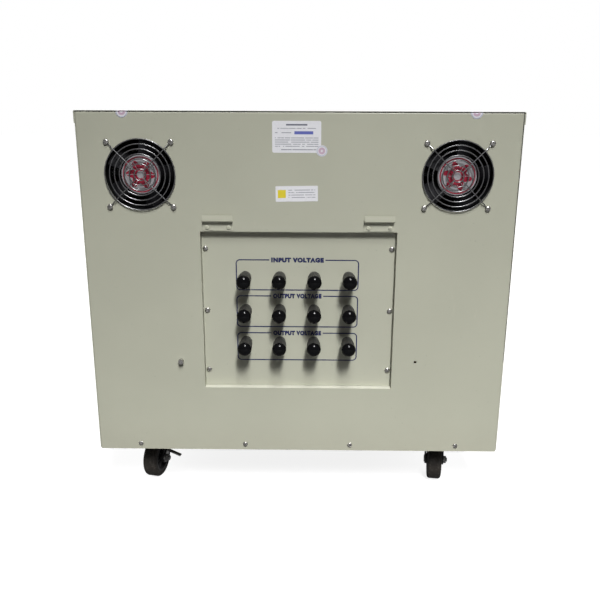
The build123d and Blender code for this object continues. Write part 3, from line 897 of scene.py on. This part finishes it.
def at_panel(x, up, out=0.0, tilt=0.0):
    """Placement on the panel's face in millimetres, tilted in degrees."""
    point = Vector((x * MM, FRONT - out * MM, FOOT + up * MM))
    return Matrix.Translation(point) @ Matrix.Rotation(radians(tilt), 4, "Y")


# Stickers, millimetres from the panel's middle and bottom edge, and the note's tilt in degrees
FORM_PLACE = (-3.5, 556.2)
FORM_SIZE = (79.0, 50.0)
FORM_CORNER = 3.0
NOTE_PLACE = (-3.2, 465.2)
NOTE_SIZE = (69.5, 25.5)
NOTE_CORNER = 1.0
NOTE_TILT = -1.0
SEAL_PLACE = (37.3, 534.4)
SEAL_RADIUS = 9.0
SEAL_SIDES = 40

# Height of the broken bars that stand for small print, millimetres
SMALL_PRINT = 0.8


def small_print(count, x, up, pitch, width):
    """Broken bars below each other, from the place of the first, in millimetres."""
    return [((x, up - pitch * row), (width, SMALL_PRINT), GREY_INK, False) for row in range(count)]


# Bars printed on the labels: middle and size in millimetres, ink, and whether it is unbroken
FORM_BARS = (
    ((0.0, 19.0), (34.0, 2.2), GREY_INK, True),
    ((0.0, 13.4), (62.0, 0.7), GREY_INK, False),
    ((-22.0, 6.6), (26.0, 0.9), GREY_INK, False),
    ((11.5, 6.6), (30.0, 4.6), BLUE_INK, True),
    *small_print(count=5, x=0.0, up=-1.5, pitch=3.3, width=70.0),
    ((4.0, -20.0), (58.0, 1.1), GREY_INK, False),
)
NOTE_BARS = (
    ((-24.5, 0.0), (13.0, 13.0), YELLOW, True),
    *small_print(count=4, x=8.5, up=6.0, pitch=4.0, width=44.0),
)


def stickers():
    """The panel's paper labels and seals, printed with plain bars and rings."""
    form = barred_paper("form_paper", FORM_BARS)
    sticker("form_label", rounded_outline(*FORM_SIZE, FORM_CORNER), at_panel(*FORM_PLACE), form)
    note = barred_paper("note_paper", NOTE_BARS)
    note_place = at_panel(*NOTE_PLACE, tilt=NOTE_TILT)
    sticker("note_label", rounded_outline(*NOTE_SIZE, NOTE_CORNER), note_place, note)
    reach = SEAL_RADIUS * MM
    seal = ringed_seal("seal_paper", reach)
    seal_place = at_panel(*SEAL_PLACE, out=STICKER_DEPTH)
    sticker("form_seal", circle_points(ORIGIN, reach, SEAL_SIDES), seal_place, seal)
    edge_seals()


# Round seals over the panel's top edge, millimetres
EDGE_SEAL_X = (("left", -284.0), ("right", 283.5))
EDGE_SEAL_RADIUS = 10.0
EDGE_SEAL_RINGS = 8
EDGE_SEAL_SKIN = 0.06
EDGE_SEAL_CLEAR = 0.06
EDGE_SEAL_BEND = 2.5

# How far past the edge a seal's bend ends and how soon it leans back, as shares of the bend
BEND_END_SHARE = 3.2
LEAN_SHARE = 0.4


def over_the_edge(run):
    """Depth and height of a seal's middle line, run metres past the panel's top edge, in metres."""
    clear = EDGE_SEAL_CLEAR * MM
    bend = EDGE_SEAL_BEND * MM
    if run <= -bend:
        return FRONT - clear, panel_high.z + run
    rise = lid_high.z - panel_high.z
    share = eased((run + bend) / (BEND_END_SHARE * bend))
    depth = FRONT - clear + max(0.0, run + bend * LEAN_SHARE)
    return depth, panel_high.z + min(rise + clear, run * (1 - share) + share * (rise + clear))


def edge_seals():
    """Round seals stuck half on the panel and half on the lid."""
    reach = EDGE_SEAL_RADIUS * MM
    for side, x in EDGE_SEAL_X:
        name = f"{side}_edge_seal"
        look = ringed_seal(f"{name}_paper", reach)
        shape = bmesh.new()
        centre = shape.verts.new((0, *over_the_edge(0)))
        loops = []
        for ring in range(1, EDGE_SEAL_RINGS + 1):
            radius = reach * ring / EDGE_SEAL_RINGS
            circle = [(radius * cos(t), *over_the_edge(radius * sin(t))) for t in turns_of(SEAL_SIDES)]
            loops.append([shape.verts.new(corner) for corner in circle])
        for k in range(SEAL_SIDES):
            following = (k + 1) % SEAL_SIDES
            shape.faces.new((centre, loops[0][k], loops[0][following]))
            for inner, outer in zip(loops, loops[1:]):
                shape.faces.new((inner[k], outer[k], outer[following], inner[following]))
        middle = Vector((x * MM, FRONT, panel_high.z))
        for vert in shape.verts:
            vert.co -= Vector((0, middle.y, middle.z))
        made = piece(name, finished(shape, name, angle=pi), look, place=Matrix.Translation(middle))
        skin = made.modifiers.new("paper", "SOLIDIFY")
        skin.thickness = EDGE_SEAL_SKIN * MM


# Dark strip of painted shade in the seam along the panel's top edge, and its tapered end that runs down its
# right edge, millimetres
SEAM_PROUD = 0.12
SEAM_DIP = 0.1
SEAM_SHY = 0.5
SEAM_INSET = 0.05
SEAM_RUN = 420.0
SEAM_WIDTH = 1.3
SEAM_TIP = 0.4


def painted_seam_shade(material):
    """Thin dark strip of painted shade: a line in the seam along the panel's top edge and a way down its
    right edge.
    """
    front = FRONT - SEAM_PROUD * MM
    low = Vector((panel_low.x + SEAM_INSET * MM, front, panel_high.z - SEAM_DIP * MM))
    high = Vector((panel_high.x - SEAM_INSET * MM, lid_low.y, lid_high.z - SEAM_SHY * MM))
    shape = bmesh.new()
    place = Matrix.Translation((low + high) / 2) @ Matrix.Diagonal((*(high - low), 1))
    bmesh.ops.create_cube(shape, size=1, matrix=place)
    wide = Vector((high.x - SEAM_WIDTH * MM, front, low.z))
    narrow = Vector((high.x - SEAM_TIP * MM, front, low.z - SEAM_RUN * MM))
    outer = [Vector((high.x, front, level)) for level in (narrow.z, wide.z)]
    slab(shape, (wide, narrow, *outer), 2 * SEAM_PROUD)
    piece("painted_seam_shade", finished(shape, "painted_seam_shade"), material)


# Printed frames and words of the terminal plate, millimetres from the panel's middle and bottom edge
FRAME_MID_X = -2.0
FRAME_WIDTH = 211.2
FRAME_GAP = 3.0
FRAME_CORNER = 6.5
FRAME_LINE = 2.0
INK_DEPTH = 0.08
WORD_HEIGHT = 8.6

# Rows of terminals from the top: height of the middle, height of the frame, width of the word, the word
FRAME_ROWS = (
    (324.9, 54.8, 90.0, "INPUT VOLTAGE"),
    (259.9, 57.6, 84.0, "OUTPUT VOLTAGE"),
    (195.5, 52.0, 84.0, "OUTPUT VOLTAGE"),
)

# Letters before a word is brought to its size: size and added weight in millimetres, and their spacing
LETTER_SIZE = 20.0
LETTER_WEIGHT = 1.8
LETTER_SPACING = 1.2


def ribbon(shape, points, width, depth):
    """Adds a flat printed line along points."""
    lefts, rights = [], []
    for i, point in enumerate(points):
        ahead = points[min(i + 1, len(points) - 1)]
        behind = points[max(i - 1, 0)]
        across = (ahead - behind).normalized().cross(OUT) * width / 2
        lefts.append(shape.verts.new(point + across + OUT * depth))
        rights.append(shape.verts.new(point - across + OUT * depth))
    for i in range(len(points) - 1):
        shape.faces.new((lefts[i], lefts[i + 1], rights[i + 1], rights[i]))


def row_frame(name, middle, height, word_width, material):
    """Rounded frame round a row of terminals, with a gap for the word in its top line."""
    outline = rounded_outline(FRAME_WIDTH - FRAME_LINE, height - FRAME_LINE, FRAME_CORNER)
    top = (height - FRAME_LINE) / 2 * MM
    gap_end = (word_width / 2 + FRAME_GAP) * MM
    top_left = len(outline) // 4
    around = outline[top_left:] + outline[:top_left]
    path = [Vector((-gap_end, 0, top)), *around, Vector((gap_end, 0, top))]
    shape = bmesh.new()
    ribbon(shape, path, FRAME_LINE * MM, INK_DEPTH * MM)
    piece(name, finished(shape, name), material, place=Matrix.Translation(middle))


def row_word(name, word, width, middle, material):
    """Flat letters of a word about a point, brought to its width and height in millimetres."""
    letters = bpy.data.curves.new(name, "FONT")
    letters.body = word
    letters.align_x = "CENTER"
    letters.align_y = "CENTER"
    letters.size = LETTER_SIZE * MM
    letters.offset = LETTER_WEIGHT * MM
    letters.space_character = LETTER_SPACING
    holder = bpy.data.objects.new("letters", letters)
    bpy.context.scene.collection.objects.link(holder)
    graph = bpy.context.evaluated_depsgraph_get()
    mesh = bpy.data.meshes.new_from_object(holder.evaluated_get(graph))
    bpy.data.objects.remove(holder)
    xs = [vert.co.x for vert in mesh.vertices]
    ys = [vert.co.y for vert in mesh.vertices]
    shrink = (width * MM / (max(xs) - min(xs)), WORD_HEIGHT * MM / (max(ys) - min(ys)), 1, 1)
    mesh.transform(Matrix.Diagonal(shrink) @ Matrix.Translation((0, -(max(ys) + min(ys)) / 2, 0)))
    piece(name, mesh, material, place=Matrix.Translation(middle) @ OUT_FRONT)


def printing(material):
    """Frames round the rows of terminals, each with its word in a gap of the top line."""
    for number, (up, height, width, word) in enumerate(FRAME_ROWS, 1):
        middle = Vector((FRAME_MID_X * MM, PLATE, FOOT + up * MM))
        row_frame(f"row_frame_{number}", middle, height, width, material)
        top = middle + OUT * INK_DEPTH * MM + UP * (height - FRAME_LINE) / 2 * MM
        row_word(f"row_word_{number}", word, width, top, material)


# Foil discs on the fan hubs: radius in millimetres, corners, and how far each rosette is turned
HUB_FOIL = 31.4
HUB_SIDES = 64
HUB_TURNS = (("left", 0.4), ("right", 1.3))


def hub_stickers():
    """Foil discs on the fan hubs, which turn with the rotors."""
    reach = HUB_FOIL * MM
    for side, turn in HUB_TURNS:
        centre = fan_centre(side)
        centre.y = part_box(f"{side}_fan_rotor")[0][1]
        look = hub_foil(f"{side}_hub_foil", reach, turn)
        outline = circle_points(ORIGIN, reach, HUB_SIDES)
        sticker(f"{side}_hub_sticker", outline, Matrix.Translation(centre), look, f"{side}_fan")


def ending(*tails):
    """Names of the CAD nodes that end in any of the given words."""
    return [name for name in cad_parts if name.endswith(tails)]


def dress_nodes():
    """Materials of the CAD nodes."""
    dress(paint("khaki_paint", KHAKI), "top_cover", "base_tray", *ending("_panel"))
    # Painted light: the hooks' paint is made paler than the panel's, as though they were lit brighter
    dress(paint("hook_paint_painted_light", scaled(KHAKI, HOOK_PAINTED_LIGHT_SHARE)), *ending("_cover_hook"))
    dress(paint("plate_paint", KHAKI_PLATE, 0.4), "terminal_plate")
    dress(terminal_cap(), *ending("_caps"))
    dress(moulding("collar_black", COLLAR_BLACK, 0.4, grain=700.0, dust=0.3), *ending("_collars"))
    dress(metal("stud_brass", BRASS, 0.3), *ending("_studs"))
    fan_frame = moulding("fan_frame_black", FAN_FRAME_BLACK, 0.5, grain=600.0, dust=0.06, bump=0.05,
                         specular=0.3)
    dress(fan_frame, *ending("_fan_frame"))
    fan_rotor = moulding("fan_rotor_black", FAN_ROTOR_BLACK, 0.6, grain=500.0, dust=0.04, bump=0.04,
                         specular=0.15)
    dress(fan_rotor, *ending("_fan_rotor"))
    dress(moulding("tyre_rubber", TYRE_BLACK, 0.72, grain=420.0, dust=0.35), *ending("_tyre"))
    dress(moulding("wheel_core", WHEEL_BLACK, 0.5, grain=500.0, dust=0.3), *ending("_wheel"))
    dress(dark_steel("caster_steel", CASTER_STEEL, 0.42), *ending("_fork", "_caster_mount"))
    dress(metal("lever_steel", LEVER_STEEL, 0.35), *ending("_brake_lever"))
    dress(metal("axle_steel", AXLE_STEEL, 0.4), *ending("_axle"))
    dress(laminations(), "core")
    dress(wound_copper(), "windings")
    dress(dark_steel("clamp_steel", CLAMP_STEEL, 0.5), "core_clamps")


# Lamps, metres and watts: a tall soft key and a higher lamp from the front, and one for each rear corner
KEY_TOWARDS = Vector((-0.18, 1.0, -0.7))
KEY_AWAY = 7.0
KEY_SIZE = (0.63, 3.8)
KEY_SPREAD = radians(46)
KEY_AIM_UP = -4.9
KEY_POWER = 165.0
TOP_PLACE = Vector((0.6, -3.2, 5.2))
TOP_AIM = Vector((0.1, -2.0, 0.0))
TOP_SIZE = (1.0, 1.8)
TOP_SPREAD = radians(50)
TOP_POWER = 38.0
REAR_PLACE = Vector((3.7, 2.4, 2.7))
REAR_SIZE = (2.4, 2.4)
REAR_POWER = 165.0

# Room: its light on the object, and how white reflections and glass see it
ROOM_LIGHT = 0.015
ROOM_SHEEN = 0.22

# Floor: colour to the camera and to other rays, size and the reach of its glow in metres, and its glow
FLOOR_WHITE = 0.3
FLOOR_BOUNCE = 0.05
FLOOR_GRAIN_SHARE = 1.01
FLOOR_SIZE = 40.0
FLOOR_GLOW_REACH = (0.62, 1.4)
FLOOR_GLOW = (0.86, 1.0)


def lamp(name, place, target, size, power, spread=pi, mirrored=True):
    """Rectangular area lamp that faces a point and may be kept out of reflections."""
    data = bpy.data.lights.new(name, "AREA")
    data.shape = "RECTANGLE"
    data.size, data.size_y = size
    data.energy = power
    data.spread = spread
    made = bpy.data.objects.new(name, data)
    made.location = place
    made.rotation_euler = (target - place).to_track_quat("-Z", "Y").to_euler()
    made.visible_glossy = mirrored
    bpy.context.scene.collection.objects.link(made)


def lamps():
    """The lamps of the studio."""
    middle = Vector((0, FRONT, (FOOT + panel_high.z) / 2))
    key_place = middle - KEY_TOWARDS.normalized() * KEY_AWAY
    lamp("key", key_place, Vector((0, FRONT, KEY_AIM_UP)), KEY_SIZE, KEY_POWER, KEY_SPREAD)
    face = Vector((0, FRONT, 0))
    lamp("top", face + TOP_PLACE, face + TOP_AIM, TOP_SIZE, TOP_POWER, TOP_SPREAD)
    for name, side in (("rear_left", -1), ("rear_right", 1)):
        place = Vector((side * REAR_PLACE.x, REAR_PLACE.y, REAR_PLACE.z))
        lamp(name, place, Vector((0, 0, middle.z)), REAR_SIZE, REAR_POWER, mirrored=False)


def room_seen(tree):
    """How white the room shows: fully to the camera, in part to reflections and glass, 0 to other rays."""
    path = tree.nodes.new("ShaderNodeLightPath")
    seen = path.outputs["Is Camera Ray"]
    for kind in ("Is Glossy Ray", "Is Transmission Ray"):
        added = tree.nodes.new("ShaderNodeMath")
        added.operation = "MULTIPLY_ADD"
        added.use_clamp = True
        tree.links.new(path.outputs[kind], added.inputs[0])
        added.inputs[1].default_value = ROOM_SHEEN
        tree.links.new(seen, added.inputs[2])
        seen = added.outputs[0]
    return seen


def room():
    """White room that lights the object only a little."""
    world = bpy.data.worlds.new("room")
    bpy.context.scene.world = world
    world.use_nodes = True
    tree = world.node_tree
    back = tree.nodes["Background"]
    fill(back, {"Color": (1, 1, 1, 1)})
    level = tree.nodes.new("ShaderNodeMapRange")
    fill(level, {"To Min": ROOM_LIGHT, "To Max": 1.0})
    tree.links.new(room_seen(tree), level.inputs["Value"])
    tree.links.new(level.outputs["Result"], back.inputs["Strength"])


def white_floor():
    """Floor that takes a faint shadow and glows white away from the object."""
    shape = bmesh.new()
    bmesh.ops.create_grid(shape, x_segments=1, y_segments=1, size=FLOOR_SIZE / 2)
    mesh = bpy.data.meshes.new("floor")
    shape.to_mesh(mesh)
    shape.free()
    floor = bpy.data.objects.new("floor", mesh)
    bpy.context.scene.collection.objects.link(floor)
    white = scaled((1, 1, 1), FLOOR_WHITE)
    look = Shader("floor", white, 0.9)
    grain = look.patches(scale=12.0, detail=3.0)
    grained = look.mix(grain, white, scaled(white, FLOOR_GRAIN_SHARE))
    to_camera = look.add("LightPath").outputs["Is Camera Ray"]
    look.colour(look.mix(to_camera, scaled((1, 1, 1), FLOOR_BOUNCE), grained))
    glow = look.ramp(look.reach(), *FLOOR_GLOW_REACH, *FLOOR_GLOW)
    fill(look.surface, {"Emission Color": (1, 1, 1, 1)})
    look.wire(look.math("MULTIPLY", glow, room_seen(look.tree)), look.surface.inputs["Emission Strength"])
    floor.data.materials.append(look.material)


def camera():
    """Camera at the photograph's place."""
    level = Vector((sin(CAMERA_YAW), cos(CAMERA_YAW), 0))
    forward = level * cos(CAMERA_PITCH) - UP * sin(CAMERA_PITCH)
    right = Vector((cos(CAMERA_YAW), -sin(CAMERA_YAW), 0))
    down = forward.cross(right)
    held_right = cos(CAMERA_ROLL) * right + sin(CAMERA_ROLL) * down
    held_down = -sin(CAMERA_ROLL) * right + cos(CAMERA_ROLL) * down
    turn = Matrix((held_right, -held_down, -forward)).transposed().to_4x4()
    place = Vector((CAMERA_X * MM, FRONT - CAMERA_AWAY * MM, FOOT + CAMERA_UP * MM))
    data = bpy.data.cameras.new("camera")
    data.lens = CAMERA_LENS
    data.sensor_width = CAMERA_SENSOR
    data.clip_end = CAMERA_SIGHT
    made = bpy.data.objects.new("camera", data)
    made.matrix_world = Matrix.Translation(place) @ turn
    bpy.context.scene.collection.objects.link(made)
    bpy.context.scene.camera = made


dress_nodes()
wire_steel = metal("guard_steel", WIRE, 0.3, tarnish=0.3, bump=0.01)
screw_steel = metal("screw_steel", ZINC, 0.3, tarnish=0.4)
for side in SIDES:
    guard(side, wire_steel)
# The rivets' khaki paint is made paler: a painted highlight
screws(screw_steel, paint("rivet_paint_painted_highlight", scaled(KHAKI, RIVET_HIGHLIGHT_SHARE)))
cover_screw(screw_steel)
stickers()
# Painted shade in the seam along the panel's top and right edges
painted_seam_shade(moulding("seam_shade_dark", SEAM_SHADE_BLACK, 0.7, grain=500.0, dust=0.1))
printing(ink("navy_ink", NAVY))
hub_stickers()
room()
white_floor()
lamps()
camera()
bpy.context.scene.view_settings.view_transform = "Standard"
